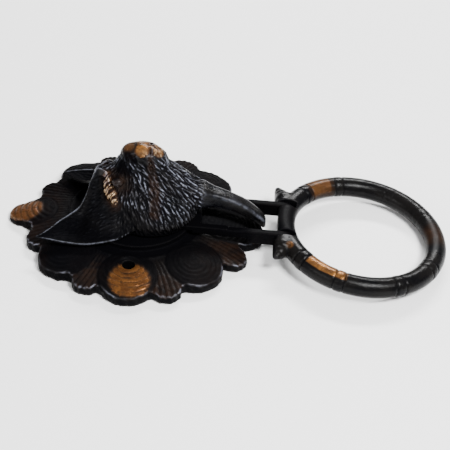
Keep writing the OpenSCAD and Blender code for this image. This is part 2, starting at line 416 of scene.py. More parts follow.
def ear_hollow(p):
    """The air in the cup of the ear, on its open side."""
    along, above, chord = ear_section(p)
    sign = np.maximum(-along, along - 1) * chord
    end = p[:, 0] - EAR_X[-1]
    return np.maximum(np.maximum(above, sign), end)


# The tuft below the throat, in sections along X: top, half width, thickness.
TUFT_X = [20.0, 30.0, 34.0, 38.0, 44.0, 50.0, 54.5, 57.2, 58.5]
TUFT_TOP = [31.4, 27.8, 26.2, 25.0, 22.8, 19.6, 16.2, 13.6, 11.4]
TUFT_HALF = [8.0, 5.6, 4.4, 3.9, 3.6, 3.5, 3.3, 2.8, 1.6]
TUFT_DEEP = [14.0, 10.0, 8.0, 7.2, 6.6, 6.2, 6.0, 5.4, 3.4]


def tuft(p):
    x = p[:, 0]
    top = curve(x, TUFT_X, TUFT_TOP)
    half = curve(x, TUFT_X, TUFT_HALF)
    deep = curve(x, TUFT_X, TUFT_DEEP) / 2
    y = p[:, 1] / half
    z = (p[:, 2] - top + deep) / deep
    k = (y ** 4 + z ** 4) ** 0.25
    ends = np.maximum(TUFT_X[0] - x, x - TUFT_X[-1])
    return np.maximum((k - 1) * np.minimum(half, deep), ends)


def head(p):
    q = to_near_side(p)
    shape = face(q)
    # nose pad, lips and jaw at the end of the snout
    shape = merge(shape, ball(q, (-3.6, 0, 42.6), (4.2, 4.8, 3.9)), 1.2)
    shape = merge(shape, ball(q, (8.6, 0, 39.6), (4.4, 5.6, 5.2)), 1.5)
    # brow between the ears
    shape = merge(shape, ball(q, (-13.5, 0, 29.5), (5.0, 4.5, 4.6)), 2.0)
    # hollow in front of the eye, and the eye's socket
    shape = cut(shape, ball(q, (-4.0, -9.6, 38.4), (4.6, 2.6, 4.2)), 2.0)
    shape = cut(shape, ball(q, (EYE[0], EYE[1] - 2.2, EYE[2] + 0.8), (4.8, 3.4, 3.8)), 1.6)
    # the ear's cup, and its sheet
    shape = cut(shape, ear_hollow(q), 3.0)
    shape = merge(shape, ear(q), 0.9)
    # raised fringe behind the eye, flatter on the far side
    flatter = np.where(p[:, 1] > 0, 1.0, 0.0)
    shape = merge(shape, chain(q, FRINGE, FRINGE_R) + flatter, 1.6)
    # the eye and its lids
    shape = merge(shape, ball(q, EYE, (2.5, 2.0, 2.1)), 0.9)
    shape = merge(shape, tuft(q), 1.2)
    # mouth, nostril
    shape = cut(shape, chain(q, MOUTH, MOUTH_R), 0.6)
    shape = cut(shape, rod(q, (-3.4, -5.6, 44.2), (-1.2, -4.9, 45.0), 0.9, 0.5), 0.5)
    # flat foot on the plate's seat
    return np.maximum(shape, np.where(np.hypot(p[:, 0], p[:, 1]) < SEAT_R + 1, SEAT_Z - p[:, 2], -9))


def fur_flow(points, normals):
    """Direction of the fur: away from the nose, swept towards the throat."""
    way = points - np.array([1.0, 0, 52.0])
    way[:, 0] += 12 * smooth_step(-14, 2, points[:, 0])
    way -= (way * normals).sum(axis=1)[:, None] * normals
    return way / np.maximum(np.linalg.norm(way, axis=1), 1e-6)[:, None]


# Strokes of the chisel: spacing across the flow, length and width.
FUR = dict(spacing=1.9, length=6.2, width=1.35)
FINE_FUR = dict(spacing=1.5, length=4.6, width=0.75)
EAR_LINES = dict(spacing=1.7, length=4.2, width=1.2)
# How deep the fur, the fine lines in the ears and the gaps of the fringe are cut.
FUR_DEPTH = 0.85
EAR_LINE_DEPTH = 0.4
FRINGE_GAP_DEPTH = 0.4
# Spacing along the flow over the one across it, in parts of a stroke's length over its width.
FOLLOW = 0.42
MOST_TRIES = 9000
# Direction across the tufts of the fringe, and the distance from one tuft to the next.
FRINGE_WAY = np.array([1.35, -0.62, -0.70])
FRINGE_STEP = 2.5


def scattered(points, flow, where, rng, spacing, stretch):
    """Vertices spread unevenly, further apart along the flow than across it."""
    tries = rng.permutation(np.flatnonzero(where > 0.5))[:MOST_TRIES]
    kept = []
    for v in tries:
        if kept:
            gap = points[kept] - points[v]
            along = gap @ flow[v]
            apart = (along * stretch) ** 2 + (gap ** 2).sum(axis=1) - along ** 2
            if apart.min() < (spacing * rng.uniform(0.55, 1.35)) ** 2:
                continue
        kept.append(v)
    return kept


def strokes(points, normals, flow, where, rng, spacing, length, width):
    """Long uneven pits left by a chisel: how deep each vertex lies in one, from 0 to 1."""
    depth = np.zeros(len(points))
    for v in scattered(points, flow, where, rng, spacing, width / length / FOLLOW):
        gap = points - points[v]
        close = np.flatnonzero((np.abs(gap) < length).all(axis=1))
        gap = gap[close]
        sway = rng.normal(0, 0.2)
        side = np.cross(flow[v], normals[v])
        ahead = flow[v] + sway * side
        side = side - sway * flow[v]
        along = gap @ ahead / (length * rng.uniform(0.55, 1.25) / 2)
        bend = rng.normal(0, 0.12) * width
        half_width = width * rng.uniform(0.7, 1.15) / 2 * (1 - 0.4 * along)
        across = (gap @ side - bend * (1 - along ** 2)) / half_width
        facing = normals[close] @ normals[v]
        pit = np.clip(1 - along ** 2, 0, 1) ** 0.7 * np.clip(1 - across ** 2, 0, 1) * (facing > 0.2)
        depth[close] = np.maximum(depth[close], pit * rng.uniform(0.65, 1.0))
    return depth


def head_zones(points, normals):
    """Where each kind of surface lies on the head, from 0 to 1 at each vertex."""
    q = to_near_side(points)
    x, y, z = points.T
    along, above, chord = ear_section(q)
    in_cup = (np.abs(above) < 1.6) & (along > -0.05) & (along < 1.05) & (x < EAR_X[-1])
    behind_ear = (x < -14) & (in_cup | (x < -21))
    # fur: the whole face but the nose, the eye, the ears and the tuft
    from_eye = np.linalg.norm((q - np.array(EYE)) / 3.5, axis=1)
    deep_in_cup = (in_cup & (above < 0.9)) * smooth_step(-5, -10, x)
    fur = (1 - smooth_step(40, 46.5, z)) * (1 - smooth_step(27, 31, x)) * (z > SEAT_Z + 1.2)
    fur = fur * ~behind_ear * (1 - deep_in_cup) * (normals[:, 2] > -0.5)
    fur = fur * (1 - 0.8 * smooth_step(1.2, 0.8, from_eye))
    inside_ear = (in_cup & (along > 0.07) & (along < 0.93) & (above < 1.0)) * smooth_step(-3, -11, x)
    near_fringe = chain(q, FRINGE, FRINGE_REACH)
    fringe = smooth_step(1.2, -0.8, near_fringe) * (y < 0)
    # painted highlight along the ears' rims, the upper rim on the near ear only
    upper_rim = smooth_step(0.7, 0.1, np.abs(along) * chord) * smooth_step(-18, -22, x) * (y < 0)
    lower_rim = smooth_step(0.7, 0.1, np.abs(along - 1) * chord) * smooth_step(0, -3, x)
    rim_highlight = 0.55 * np.maximum(upper_rim, lower_rim) * in_cup
    return dict(behind_ear=behind_ear, fur=fur, inside_ear=inside_ear, rim_highlight=rim_highlight, fringe=fringe,
                by_fringe=smooth_step(3.5, 1.0, near_fringe))


def carve_fur(points, normals, zones):
    """Cut the fur, the ears' fine lines and the fringe: new points, and how deep each one is cut."""
    rng = np.random.default_rng(7)
    fur, inside_ear, fringe = zones["fur"], zones["inside_ear"], zones["fringe"]
    flow = fur_flow(points, normals)
    pits = strokes(points, normals, flow, fur, rng, **FUR) * fur
    fine = strokes(points, normals, flow, fur, rng, **FINE_FUR) * fur ** 0.5
    pits = np.maximum(pits, 0.7 * fine)
    ones = np.ones(len(points))
    ear_flow = np.stack([-ones, np.sign(points[:, 1]) * 0.25, -0.35 * ones], axis=1)
    ear_pits = strokes(points, normals, ear_flow / 1.08, inside_ear, rng, **EAR_LINES) * inside_ear
    # the fringe is a row of separate tufts, leaning across it
    row = to_near_side(points) @ FRINGE_WAY / FRINGE_STEP
    row = row + 0.24 * np.sin(2.3 * row + 0.8 * points[:, 0]) + 0.05 * np.sin(1.3 * points[:, 2])
    between = smooth_step(0.1, -0.7, np.sin(2 * math.pi * row)) * fringe
    depth = FUR_DEPTH * pits + EAR_LINE_DEPTH * ear_pits + FRINGE_GAP_DEPTH * between
    pits = np.maximum.reduce([pits * (1 - 0.7 * fringe), ear_pits, 0.8 * between])
    return points - normals * depth[:, None], pits, between


def near_spots(q, spots, outer, inner):
    """How much colour round spots give each point: the most that any one of them gives."""
    much = np.zeros(len(q))
    for centre, radius, most in spots:
        away = np.linalg.norm(q - np.array(centre), axis=1) / radius
        much = np.maximum(much, most * smooth_step(outer, inner, away))
    return much


def head_colours(points, normals, zones, between):
    """Masks of the patina: worn, brown, sheen, and painted shade with the near-black spots, at each
    vertex, from before it is carved.
    """
    q = to_near_side(points)
    x, y, z = points.T
    fringe, rim_highlight = zones["fringe"], zones["rim_highlight"]
    # worn gold: snout and brow fringe
    worn = (0.5 + 0.38 * smooth_step(33, 29, z)) * fringe * (1 - 0.55 * between)
    worn = np.maximum(worn, near_spots(q, GOLD_SPOTS, 1.15, 0.55))
    black = near_spots(q, DARK_SPOTS, 1.2, 0.6)
    # brown: crease, eye and brow
    crease = smooth_step(1.6, 0.2, chain(q, CREASE, CREASE_R))
    socket = smooth_step(1.25, 0.8, np.linalg.norm((q - np.array(EYE)) / (6.5, 7.0, 6.5), axis=1))
    snout_back = smooth_step(41, 44, z) * smooth_step(0, -4, x)
    brown = np.maximum.reduce([crease, 0.6 * socket, 0.6 * zones["by_fringe"], snout_back])
    # painted highlight on the ridges of the cheek, whose lower part falls into the painted shade of the
    # ear
    shade = smooth_step(-4, 3, -7 + 1.9 * (26 - z) - x) * smooth_step(31, 27, z)
    cheek = smooth_step(14, 25, z) * smooth_step(47.5, 45, z) * (1 - zones["behind_ear"])
    cheek = cheek * (1 - 0.9 * socket) * (1 - 0.8 * crease) * (1 - 0.9 * shade)
    patchy = 0.55 + 0.45 * np.sin(0.33 * x + 0.5 * y + 1.2) * np.sin(0.29 * z - 0.2 * y)
    # painted highlight along the brow between the ears
    brow = smooth_step(-5, -9, x) * smooth_step(20, 26, z)
    brow = brow * smooth_step(-4.5, -1, y) * smooth_step(4.5, 1, y)
    # painted highlight on the tuft's top, brightest along its near edge
    on_tuft = smooth_step(27, 32, x) * (normals[:, 2] > 0.1)
    tuft_edge = smooth_step(1.2, 0.3, np.abs(-y - 0.82 * curve(x, TUFT_X, TUFT_HALF)))
    # the painted sheen, which also paints the fringe paler
    sheen = np.maximum.reduce([cheek * patchy, 0.5 * brow, on_tuft * (0.12 + 0.6 * tuft_edge), rim_highlight,
                               0.8 * fringe, 0.2 * zones["inside_ear"]])
    # painted shade: darker low down on the head, in the ear's cup and on the cheek by the ear; the spots
    # painted near black join it
    shade_low_down = smooth_step(20, 12.5, z) * (x < 30) * (1 - rim_highlight)
    grime = np.maximum.reduce([shade_low_down, 0.5 * zones["inside_ear"], 0.6 * shade * (1 - rim_highlight), black])
    return dict(worn=worn, brown=brown, sheen=sheen, grime=grime)


def make_head():
    points, quads = surface(head, *HEAD_GRID)
    normals = vertex_normals(points, quads)
    zones = head_zones(points, normals)
    carved, pits, between = carve_fur(points, normals, zones)
    colours = head_colours(points, normals, zones, between)
    high = crests(carved, quads, vertex_normals(carved, quads), 6) / 0.35
    return new_piece("head_casting", carved, quads, "mounted_body", "cast_patina", "fox_head",
                     pit=pits, high=high, **colours)


# ----------------------------------------------------------------- plate

# The dome falls from the crown to the rim's height at this radius, and is level past the other.
DOME_EDGE = 52
DOME_END = 60
DOME_DROP = CROWN_Z - RIM_T
DOME_R = (DOME_EDGE ** 2 + DOME_DROP ** 2) / (2 * DOME_DROP)


def dome(x, y, top):
    return top - DOME_R + np.sqrt(DOME_R ** 2 - np.minimum(x * x + y * y, DOME_END ** 2))


def turned(x, y, degrees):
    c, s = math.cos(math.radians(degrees)), math.sin(math.radians(degrees))
    return x * c + y * s, -x * s + y * c


def boss_outline(x, y, degrees):
    """Distance to the edge of one boss; the two on the X axis are longer than the round ones."""
    u, v = turned(x, y, degrees)
    if degrees == 0:
        end = LONG_BOSS_END - LONG_BOSS_R
        return np.hypot(u - np.clip(u, BOSS_AT, end), v) - LONG_BOSS_R
    if degrees == 180:
        taper = LONG_BOSS_END - UPPER_TIP_R - UPPER_BOSS_AT
        t = np.clip((u - UPPER_BOSS_AT) / taper, 0, 1)
        wide = UPPER_BOSS_R + (UPPER_TIP_R - UPPER_BOSS_R) * t
        return np.hypot(u - UPPER_BOSS_AT - taper * t, v) - wide
    return np.hypot(u - BOSS_AT, v) - BOSS_R


# Distance of the small leaf lobes between the bosses, by their turn from the +X side.
LEAVES = {22.5: 48.2, 67.5: 46.0, 112.5: 45.6, 157.5: 44.8}
BOSSES = [45.0 * k for k in range(8)]
LEAF_TURNS = [22.5 + 45.0 * k for k in range(8)]
# Room for the waves of the outline inside the CAD plate's.
OUTLINE_INSET = 0.25


def leaf_outline(x, y, degrees):
    """Distance to the edge of a leaf lobe, a little notched by its flutes."""
    u, v = turned(x, y, degrees)
    return np.hypot(u - LEAVES[min(degrees, 360 - degrees)], v) - LEAF_R - 0.1 * np.cos(2.6 * v)


def plate_outline(x, y):
    edge = np.hypot(x, y) - CORE_R
    for degrees in BOSSES:
        edge = merge(edge, boss_outline(x, y, degrees), 0.8)
    for degrees in LEAF_TURNS:
        edge = merge(edge, leaf_outline(x, y, degrees), 0.8)
    waves = 0.16 * np.sin(0.9 * x + 2 * np.sin(0.4 * y)) * np.cos(0.8 * y)
    waves = waves + 0.25 * np.sin(0.31 * x + 1) * np.cos(0.27 * y)
    # the casting is smaller beside the ears, most of all at +Y, and fuller at +X and +Y
    towards_top = smooth_step(-2, -16, x) * smooth_step(-56, -46, x)
    smaller = 1.8 * towards_top * smooth_step(4, 20, y) + 0.6 * towards_top * smooth_step(-8, -20, y)
    fuller = 0.9 * smooth_step(8, 26, x) * smooth_step(8, 26, y)
    return edge + OUTLINE_INSET + waves + smaller - fuller


def ridges(phase):
    """Rounded crests with narrow valleys, from -1 to 1, one for each turn of the phase."""
    return 1 - 2 * np.abs(np.cos(math.pi * phase)) ** 3


def boss_lines(x, y, degrees):
    """The engraved lines of one boss, from -1 to 1: arcs on four of them, and spirals on the others."""
    u, v = turned(x, y, degrees)
    if degrees == 180:
        return ridges(np.hypot(u - 38, v + 2) / 2.6)
    if degrees == 0:
        return ridges(np.hypot(u - 34, v) / 1.9)
    if degrees in (90, 270):
        return ridges(np.hypot(u - 35.5, v * 0.9) / 2.3 + 0.06 * np.sin(v))
    side = 1 if degrees < 180 else -1
    away = np.hypot(u - BOSS_AT, v)
    swirl = np.arctan2(side * v, u - BOSS_AT) / (2 * math.pi)
    return ridges(away / 2.1 - 2 * swirl)


def plate_relief(x, y):
    """Height of the plate's face, before its edge is rounded."""
    r = np.hypot(x, y)
    base = dome(x, y, CROWN_Z)
    angle = np.degrees(np.arctan2(y, x))
    bend = 0.5 * np.sin(r / 9) + 0.3 * np.sin(angle / 17)
    flutes = ridges(angle / 2.8 + bend) * 0.16 * smooth_step(29, 34, r)
    ring_line = 0.35 * line_at(r, 30.5, 0.7)
    lumps = 0.07 * np.sin(0.8 * x + 1.6 * np.sin(0.5 * y)) * np.sin(0.9 * y + 1.4 * np.sin(0.6 * x))
    base = base + lumps
    height = base + flutes + ring_line
    for degrees in BOSSES:
        inside = -boss_outline(x, y, degrees)
        radius = {0: LONG_BOSS_R, 180: UPPER_BOSS_R}.get(degrees, BOSS_R)
        crown = BOSS_RISE * (1 - np.clip(1 - inside / radius, 0, 1) ** 2)
        faint = 0.6 + 0.4 * np.sin(0.23 * x + 2) * np.sin(0.29 * y)
        deep = 0.17 if degrees in (90, 180, 270) else 0.11
        lines = boss_lines(x, y, degrees) * deep * faint * smooth_step(1.2, 2.2, inside)
        border = 0.14 * line_at(inside, 1.0, 0.5) - 0.18 * line_at(inside, -0.1, 0.5)
        take = smooth_step(-0.8, 0.5, inside) * smooth_step(27, 30, r)
        height = height * (1 - take) + (base + crown + lines + border) * take
    # flat land round each fixing hole
    land = dome(0, FIXING_SPACING / 2, CROWN_Z) + 0.4
    for side in (-1, 1):
        hole = np.hypot(x, y - side * FIXING_SPACING / 2)
        take = smooth_step(4.6, 3.4, hole)
        height = height * (1 - take) + np.minimum(height, land) * take
    return height


def plate(p):
    x, y, z = p.T
    r = np.hypot(x, y)
    edge = plate_outline(x, y) + 0.12 * np.sin(1.5 * x + 1.1 * z) * np.cos(1.4 * y - 0.9 * z)
    top = plate_relief(x, y)
    shape = cut(edge, top - z, 1.0)
    seat = np.maximum(r - SEAT_R, z - SEAT_Z)
    shape = merge(shape, seat, 0.8)
    # hollow back, with metal left round the fixing holes and over the screws of the head
    hollow = np.maximum(z - dome(x, y, CROWN_Z - PLATE_WALL), r - HOLLOW_R)
    for side in (-1, 1):
        hollow = np.maximum(hollow, POST_R - np.hypot(x, y - side * FIXING_SPACING / 2))
    for sx, sy in SCREWS:
        spot = np.maximum(np.hypot(x - sx, y - sy) - SPOT_R, SPOT_Z - z)
        hollow = np.maximum(hollow, -spot)
    shape = np.maximum(shape, -hollow)
    for side in (-1, 1):
        shape = np.maximum(shape, FIXING_HOLE_R - np.hypot(x, y - side * FIXING_SPACING / 2))
    for sx, sy in SCREWS:
        shape = np.maximum(shape, SCREW_HOLE_R - np.hypot(x - sx, y - sy))
    return np.maximum(shape, INSET - z)


# Bosses rubbed to gold: turn, middle outwards and across, half length, half width, how much.
GOLD_BOSSES = [(0, 53.0, 0, 6.0, 9.0, 0.45), (90, 42.0, 0, 9.0, 9.5, 0.85),
               (180, 51.6, 0, 9.4, 8.4, 0.72), (270, 42.6, 1.3, 9.6, 9.8, 0.95)]


def plate_colours(points, normals):
    """Masks of the patina: worn, brown, sheen, and painted shade with dull places, at each vertex."""
    x, y, z = points.T
    r = np.hypot(x, y)
    facing_up = normals[:, 2]
    worn = np.zeros(len(points))
    for degrees, out, across, long, wide, much in GOLD_BOSSES:
        u, v = turned(x, y, degrees)
        away = np.hypot((u - out) / long, (v - across) / wide)
        valley = smooth_step(0.3, -0.7, boss_lines(x, y, degrees))
        worn = np.maximum(worn, much * smooth_step(1.1, 0.7, away) * (1 - 0.3 * valley))
    # under the throat, between the fork's arms: painted shade, and no gold
    under_throat = smooth_step(-9, -6, y) * smooth_step(17, 14, y) * smooth_step(20, 24, x)
    worn = worn * (facing_up > 0.3) * (1 - under_throat)
    # a pale line is painted along the rim's upper edge, here and there, with the sheen mask
    near_edge = smooth_step(-1.05, -0.5, plate_outline(x, y))
    patchy = 0.3 + 0.7 * smooth_step(-0.4, 0.5, np.sin(0.34 * x + 0.8) * np.cos(0.43 * y + 0.4))
    rim = patchy * near_edge * smooth_step(0.3, 0.6, facing_up) * smooth_step(0.98, 0.9, facing_up)
    on_boss = np.zeros(len(points))
    for degrees in BOSSES:
        on_boss = np.maximum(on_boss, smooth_step(-1, 0.5, -boss_outline(x, y, degrees)))
    # painted darker and duller all over, more on the bosses, with painted shade on the far side and
    # towards the top
    far_side, upper_side = smooth_step(8, 22, y), smooth_step(-16, -28, x)
    dull_and_shaded = np.minimum(0.35 + 0.45 * on_boss + 0.5 * far_side + 0.4 * upper_side, 0.92)
    side_wall = 0.75 * smooth_step(0.45, 0.2, facing_up)
    # painted shade round the head's foot and under the throat; the side walls painted darker; with the
    # dull places
    grime = np.maximum.reduce([smooth_step(35, 29, r), under_throat, dull_and_shaded, side_wall])
    grime = grime * (z > 1) * (1 - worn) * (1 - rim)
    brown = 0.2 + 0.25 * np.sin(0.13 * x - 0.4) * np.cos(0.11 * y) + 0.5 * (1 - on_boss)
    brown = brown * smooth_step(30, 44, r) * (facing_up > 0.2) * (1 - smooth_step(0.2, 0.6, worn))
    brown = np.maximum(brown, 0.65 * (worn > 0.2) + 0.5 * on_boss * smooth_step(-33, -38, x))
    return dict(worn=worn, brown=brown, sheen=0.5 * rim, grime=grime)


def make_plate():
    points, quads = surface(plate, *PLATE_GRID)
    normals = vertex_normals(points, quads)
    high = crests(points, quads, normals, 6) / 0.35
    pit = -crests(points, quads, normals, 3) / 0.16
    return new_piece("plate_casting", points, quads, "mounted_body", "cast_patina", "back_plate",
                     pit=pit, high=high, **plate_colours(points, normals))


# ------------------------------------------------------------------ fork

FORK_BASE_T = 2.6
# Where the parts of the fork lie along X: its base, the step in it, and the arms up to the pin.
BASE_X = (12, 29.5)
STEP_X = (25.5, 41.5)
ARM_START_X = 37.5
DEEP_ARM_X = 50


def fork(p):
    q = p.copy()
    q[:, 1] = np.abs(q[:, 1])
    low_y, high_y = ARM_Y - ARM_T / 2, ARM_Y + ARM_T / 2
    from_pin = np.hypot(q[:, 0] - HINGE_X, q[:, 2] - HINGE_Z)
    base_top, arm_top = SEAT_Z + FORK_BASE_T, HINGE_Z + ARM_R
    shape = slab(p, (BASE_X[0], -high_y, SEAT_Z), (BASE_X[1], high_y, base_top), 0.5)
    step = slab(q, (STEP_X[0], low_y, SEAT_Z - 1.4), (STEP_X[1], high_y, base_top), 0.5)
    shape = np.minimum(shape, step)
    arm = slab(q, (ARM_START_X, low_y, HINGE_Z - 0.6), (HINGE_X, high_y, arm_top), 0.7)
    deep = slab(q, (DEEP_ARM_X, low_y, HINGE_Z - ARM_R), (HINGE_X, high_y, arm_top), 0.7)
    arm = merge(arm, deep, 0.4)
    flat = np.abs(q[:, 1] - ARM_Y) - ARM_T / 2
    eye = np.maximum(from_pin - ARM_R, flat)
    arm = np.where(q[:, 0] > HINGE_X, eye, np.minimum(arm, eye))
    shape = merge(shape, arm, 0.4)
    shape = np.maximum(shape, PIN_R + 0.05 - from_pin)
    for sx, sy in SCREWS[:2]:
        shape = np.maximum(shape, SCREW_HOLE_R - np.hypot(p[:, 0] - sx, p[:, 1] - sy))
    return shape


def make_fork():
    points, quads = surface(fork, *FORK_GRID)
    normals = vertex_normals(points, quads)
    high = crests(points, quads, normals, 5) / 0.2
    none = np.zeros(len(points))
    # painted shade over the whole fork, darkest under the head
    grime = np.maximum(smooth_step(62, 50, points[:, 0]), 0.85)
    return new_piece("fork_casting", points, quads, "mounted_body", "cast_patina", "hinge_fork",
                     worn=none, pit=none, high=high, grime=grime, brown=0.1 + none, sheen=none)


# ------------------------------------------------------------------ ring

# Degrees round the ring from its end away from the hinge: the middle of each collar, and half its width.
COLLARS = [32, 64, 107, 138]
COLLAR_HALF = 3.4
# How deep the cuts at each collar are, on the near side (-1) and on the far side (1).
COLLAR_CUTS = {-1: (0.34, 0.42, 0.42, 0.42), 1: (0.1, 0.1, 0.3, 0.34)}
# The solid part of the hub on each side: its middle along Y and half its length.
HUB_BLOCK_Y = 15.0
HUB_BLOCK_HALF = HUB_HALF - 2.0 - HUB_BLOCK_Y
# Between the arms the hub is flat on the head's side, this far from the pin's axis.
CROSSBAR_FLAT = 3.2
# A horn of the hub: points along it, and its radius at each.
HORN = [(66.4, 17.0, 9.8), (65.3, 19.8, 9.9), (64.3, 22.0, 10.1), (63.7, 23.4, 10.3)]
HORN_R = [4.4, 3.3, 2.3, 1.6]


def in_ring_frame(p):
    """Points measured from the ring's middle, with the ring's plane flat."""
    c, s = math.cos(RING_TILT), math.sin(RING_TILT)
    x, z = p[:, 0] - HINGE_X, p[:, 2] - HINGE_Z
    return np.stack([x * c - z * s - RING_R, p[:, 1], x * s + z * c], axis=1)


def bamboo(turn):
    """Change of the bar's radius round the ring: a cut on each side of a collar."""
    change = np.zeros(len(turn))
    for side, depths in COLLAR_CUTS.items():
        for collar, depth in zip(COLLARS, depths):
            off = turn - side * collar
            for edge in (-COLLAR_HALF, COLLAR_HALF):
                change -= depth * line_at(off, edge, 0.65)
            change += 0.3 * depth * line_at(off, 0, 4.5)
    return change


def arm_sweep(q):
    """The slots in which the fork's arms move, for the near and the far arm alike."""
    x, z = q[:, 0] - HINGE_X, q[:, 2] - HINGE_Z
    r = ARM_R + 0.5
    stop = math.pi - LIFT
    past_stop = x * math.sin(stop) - z * math.cos(stop) - r
    behind = np.minimum(x, -(x * math.cos(stop) + z * math.sin(stop)))
    wedge = np.maximum(np.maximum(-r - z, past_stop), behind)
    swept = np.minimum(np.hypot(x, z) - r, wedge)
    return np.maximum(swept, np.abs(np.abs(q[:, 1]) - ARM_Y) - ARM_T / 2 - SLOT_GAP)


def ring(p):
    q = p.copy()
    q[:, 1] = np.abs(q[:, 1])
    f = in_ring_frame(p)
    turn = np.degrees(np.arctan2(f[:, 1], f[:, 0]))
    shape = np.hypot(np.hypot(f[:, 0], f[:, 1]) - RING_R, f[:, 2]) - BAR_R + INSET - bamboo(turn)
    x, z = q[:, 0] - HINGE_X, q[:, 2] - HINGE_Z
    along = np.abs(q[:, 1] - HUB_BLOCK_Y) - HUB_BLOCK_HALF
    block = np.maximum(np.hypot(x, z) - HUB_R + 0.25, along)
    shape = merge(shape, block, 1.2)
    shape = merge(shape, chain(q, HORN, HORN_R), 1.2)
    shape = np.maximum(shape, np.where(q[:, 1] < ARM_Y, -CROSSBAR_FLAT - x, -9))
    shape = np.maximum(shape, -arm_sweep(q))
    bore = np.maximum(np.hypot(x, z) - PIN_R, -HUB_HALF - p[:, 1])
    shape = np.maximum(shape, -bore)
    return shape


# Arcs rubbed to gold: turn, half length, how much, and whether on the inner side only.
GOLD_ARCS = [(242, 15.5, 0.95, True), (125, 10, 0.52, False), (4, 9, 0.2, False)]
HUB_SPOT = (69.5, -18.6, 13.8)


def ring_colours(points, normals):
    """Masks of the patina: worn, brown, sheen, and painted shade with dull places, at each vertex."""
    f = in_ring_frame(points)
    turn = np.degrees(np.arctan2(f[:, 1], f[:, 0]))
    inner = -(normals[:, 0] * np.cos(np.radians(turn)) + normals[:, 1] * np.sin(np.radians(turn)))
    top = smooth_step(-0.3, 0.5, normals[:, 2])
    worn = np.zeros(len(points))
    for middle, half, much, inside in GOLD_ARCS:
        off = np.abs((turn - middle + 180) % 360 - 180)
        side = smooth_step(-0.15, 0.2, inner + 0.7 * normals[:, 2]) if inside else top
        worn = np.maximum(worn, much * smooth_step(half + 1.5, half - 2, off) * side)
    spot = np.linalg.norm(points - np.array(HUB_SPOT), axis=1)
    worn = np.maximum(worn, 0.5 * smooth_step(2.6, 1.0, spot)) * (normals[:, 2] > -0.2)
    red_end = smooth_step(16, 8, np.abs(turn - 6))
    far_patch = smooth_step(14, 11, np.abs(turn - 125))
    # painted shade on the crossbar between the fork's arms; the end away from the hinge painted darker
    # and duller; a faint painted sheen all round
    crossbar = smooth_step(74, 70, points[:, 0]) * smooth_step(12, 9, np.abs(points[:, 1]))
    matt_end = smooth_step(24, 12, np.abs(turn - 2))
    return dict(worn=worn, brown=np.maximum(red_end, 0.85 * far_patch), sheen=np.full(len(points), 0.05),
                grime=np.maximum(0.7 * crossbar, 0.45 * matt_end))


def make_ring():
    points, quads = surface(ring, *RING_GRID)
    normals = vertex_normals(points, quads)
    high = crests(points, quads, normals, 6) / 0.7
    pit = -crests(points, quads, normals, 3) / 0.15
    return new_piece("ring_casting", points, quads, "ring", "cast_patina", "knocker_ring",
                     pit=pit, high=high, **ring_colours(points, normals))


# ------------------------------------------------------------- materials

class Nodes:
    """A small helper to build a node material."""

    def __init__(self, name):
        self.material = bpy.data.materials.new(name)
        self.material.use_nodes = True
        self.tree = self.material.node_tree
        self.tree.nodes.clear()
        self.shader = self.add("ShaderNodeBsdfPrincipled")
        out = self.add("ShaderNodeOutputMaterial")
        self.link(self.shader.outputs[0], out.inputs["Surface"])
        self.place = self.add("ShaderNodeTexCoord").outputs["Object"]

    def add(self, kind, **settings):
        node = self.tree.nodes.new(kind)
        for key, value in settings.items():
            setattr(node, key, value)
        return node

    def link(self, a, b):
        self.tree.links.new(a, b)

    def noise(self, size_mm, detail=4.0, rough=0.55):
        node = self.add("ShaderNodeTexNoise")
        node.inputs["Scale"].default_value = 1000.0 / size_mm
        node.inputs["Detail"].default_value = detail
        node.inputs["Roughness"].default_value = rough
        self.link(self.place, node.inputs["Vector"])
        return node.outputs["Fac"]

    def mask(self, name):
        return self.add("ShaderNodeAttribute", attribute_name=name).outputs["Fac"]

    def remap(self, value, low, high, to_low=0.0, to_high=1.0):
        node = self.add("ShaderNodeMapRange", interpolation_type="SMOOTHSTEP")
        limits = {"From Min": low, "From Max": high, "To Min": to_low, "To Max": to_high}
        for key, number in limits.items():
            node.inputs[key].default_value = number
        self.link(value, node.inputs["Value"])
        return node.outputs["Result"]

    def math(self, operation, a, b):
        node = self.add("ShaderNodeMath", operation=operation)
        for socket, value in zip(node.inputs, (a, b)):
            if isinstance(value, (int, float)):
                socket.default_value = value
            else:
                self.link(value, socket)
        return node.outputs[0]

    def mix(self, amount, a, b):
        """Colour a turning into colour b as the amount rises."""
        node = self.add("ShaderNodeMix", data_type="RGBA")
        self.link(amount, node.inputs[0])
        for socket, value in ((node.inputs[6], a), (node.inputs[7], b)):
            if isinstance(value, tuple):
                socket.default_value = (*value, 1)
            else:
                self.link(value, socket)
        return node.outputs[2]

    def bump(self, height, distance_mm, strength):
        node = self.add("ShaderNodeBump")
        node.inputs["Strength"].default_value = strength
        node.inputs["Distance"].default_value = distance_mm * MM
        self.link(height, node.inputs["Height"])
        self.link(node.outputs[0], self.shader.inputs["Normal"])


# Colours of the patina, from the darkest up. The first is the black of the pits and of the painted
# shade; the pale blue is the painted sheen.
SHADE_AND_PIT_BLACK = (0.001, 0.001, 0.0015)
BLUE_BLACK = (0.0015, 0.0015, 0.0020)
WARM_BLACK = (0.0045, 0.0040, 0.0038)
RED_BROWN = (0.018, 0.0085, 0.0045)
CREST_GREY = (0.040, 0.036, 0.033)
SHEEN_BLUE = (0.22, 0.235, 0.295)
BRONZE = (0.085, 0.036, 0.011)
GOLD = (0.25, 0.102, 0.023)
DULL_GOLD = (0.062, 0.025, 0.008)
BROWN_GOLD = (0.075, 0.028, 0.010)
PALE_GOLD = (0.32, 0.23, 0.14)


